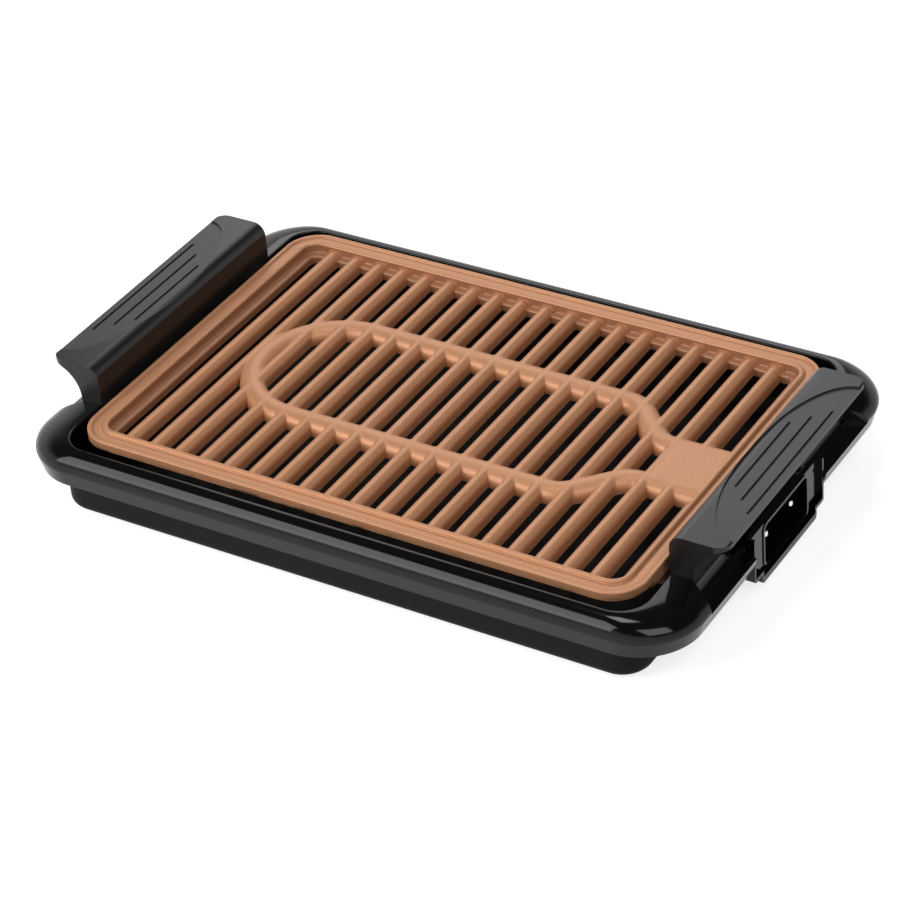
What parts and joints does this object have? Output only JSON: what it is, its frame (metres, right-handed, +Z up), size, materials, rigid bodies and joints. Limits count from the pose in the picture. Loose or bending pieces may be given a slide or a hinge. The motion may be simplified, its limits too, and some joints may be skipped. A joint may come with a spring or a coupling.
{
  "type": "indoor electric grill",
  "caption": "Low indoor electric grill: copper-coloured barred plate with a looped element bulge, black domed frame, raised end handles, pin inlet and drip pan.",
  "frame": {"origin": "on the counter under the middle of the grill, at the height of the feet", "axes": "+X towards the end with the power inlet, +Y towards the back, +Z up"},
  "size_m": [0.43, 0.2766, 0.068],
  "materials": {
    "plate_copper": "satin",
    "frame_gloss": "gloss",
    "handle_plastic": "satin",
    "pan_plastic": "matte",
    "foot_rubber": "matte",
    "steel": "satin",
    "element_sheath": "satin",
    "ceramic": "satin",
    "pin_plating": "gloss"
  },
  "bodies": {
    "base": {"drip_pan": "pan_plastic", "foot_front_left": "foot_rubber", "foot_front_right": "foot_rubber", "foot_back_left": "foot_rubber", "foot_back_right": "foot_rubber"},
    "frame": {"brim_frame": "frame_gloss", "socket_surround": "frame_gloss", "left_handle": "handle_plastic", "right_handle": "handle_plastic", "left_handle_screws": "steel", "right_handle_screws": "steel", "rest_bracket_front_left": "steel", "rest_bracket_front_right": "steel", "rest_bracket_back_left": "steel", "rest_bracket_back_right": "steel", "rest_bracket_screws": "steel"},
    "plate": {"grill_plate": "plate_copper", "heating_element": "element_sheath", "terminal_bracket": "steel", "terminal_bracket_screws": "steel", "insulator_front": "ceramic", "insulator_back": "ceramic", "terminal_pin_front": "pin_plating", "terminal_pin_back": "pin_plating", "probe_sleeve": "steel"}
  },
  "joints": [
    {"name": "frame_lift", "type": "slide", "parent": "base", "child": "frame", "axis": [0, 0, 1], "range_m": [0, 0.1]},
    {"name": "plate_tilt", "type": "hinge", "parent": "frame", "child": "plate", "pos_m": [0.1745, 0, 0.04], "axis": [0, 1, 0], "range_deg": [0, 12]}
  ]
}
